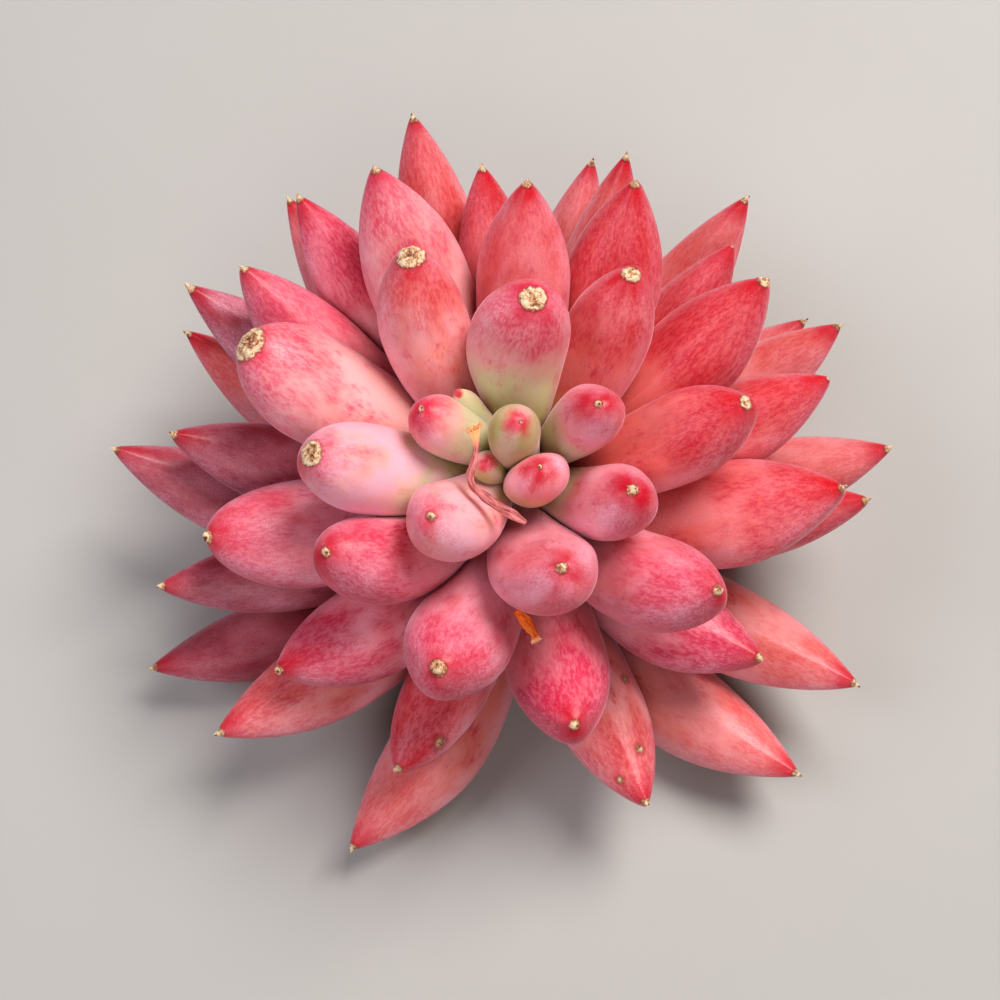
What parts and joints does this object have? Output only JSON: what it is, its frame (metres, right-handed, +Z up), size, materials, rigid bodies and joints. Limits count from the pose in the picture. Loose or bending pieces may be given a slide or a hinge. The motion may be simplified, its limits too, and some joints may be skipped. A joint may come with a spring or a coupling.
{
  "type": "cut echeveria rosette",
  "caption": "Cut, unpotted echeveria rosette of plump pink-red pointed leaves round a short woody stem; it stands on the stem's flat cut with its low leaves near the ground.",
  "frame": {"origin": "middle of the stem's flat cut face, on the surface that the rosette stands on", "axes": "+Z up the stem to the heart of the rosette, -Y the side seen at the front, +X to the right and across the widest spread of leaves"},
  "size_m": [0.1098, 0.0968, 0.0551],
  "materials": {
    "leaf_heart": "waxy bloom, satin",
    "leaf_inner": "waxy bloom, satin",
    "leaf_upper": "waxy bloom, satin",
    "leaf_middle": "waxy bloom, satin",
    "leaf_lower": "waxy bloom, satin",
    "leaf_base": "waxy bloom, satin",
    "leaf_tucked": "waxy bloom, satin",
    "stem": "rough, corky",
    "dry_filament": "dry, papery",
    "dry_flake": "dry, papery"
  },
  "bodies": {
    "root": {"stem": "stem", "dry_filament": "dry_filament", "dry_flake": "dry_flake", "leaf_heart_1": "leaf_heart", "leaf_heart_2": "leaf_heart", "leaf_inner_1": "leaf_inner", "leaf_inner_2": "leaf_inner", "leaf_inner_3": "leaf_inner", "leaf_inner_4": "leaf_inner", "leaf_inner_5": "leaf_inner", "leaf_upper_1": "leaf_upper", "leaf_upper_2": "leaf_upper", "leaf_upper_3": "leaf_upper", "leaf_upper_4": "leaf_upper", "leaf_upper_5": "leaf_upper", "leaf_upper_6": "leaf_upper", "leaf_upper_7": "leaf_upper", "leaf_upper_8": "leaf_upper", "leaf_upper_9": "leaf_upper", "leaf_middle_1": "leaf_middle", "leaf_middle_2": "leaf_middle", "leaf_middle_3": "leaf_middle", "leaf_middle_4": "leaf_middle", "leaf_middle_5": "leaf_middle", "leaf_middle_6": "leaf_middle", "leaf_middle_7": "leaf_middle", "leaf_middle_8": "leaf_middle", "leaf_middle_9": "leaf_middle", "leaf_middle_10": "leaf_middle", "leaf_middle_11": "leaf_middle", "leaf_middle_12": "leaf_middle", "leaf_lower_1": "leaf_lower", "leaf_lower_2": "leaf_lower", "leaf_lower_3": "leaf_lower", "leaf_lower_4": "leaf_lower", "leaf_lower_5": "leaf_lower", "leaf_lower_6": "leaf_lower", "leaf_lower_7": "leaf_lower", "leaf_lower_8": "leaf_lower", "leaf_lower_9": "leaf_lower", "leaf_base_1": "leaf_base", "leaf_base_2": "leaf_base", "leaf_base_3": "leaf_base", "leaf_base_4": "leaf_base", "leaf_base_5": "leaf_base", "leaf_base_6": "leaf_base", "leaf_base_7": "leaf_base", "leaf_base_8": "leaf_base", "leaf_base_9": "leaf_base", "leaf_base_10": "leaf_base", "leaf_base_11": "leaf_base", "leaf_base_12": "leaf_base", "leaf_base_13": "leaf_base", "leaf_base_14": "leaf_base", "leaf_tucked_1": "leaf_tucked", "leaf_tucked_2": "leaf_tucked", "leaf_tucked_3": "leaf_tucked", "leaf_tucked_4": "leaf_tucked", "leaf_tucked_5": "leaf_tucked", "leaf_tucked_6": "leaf_tucked"}
  },
  "joints": []
}
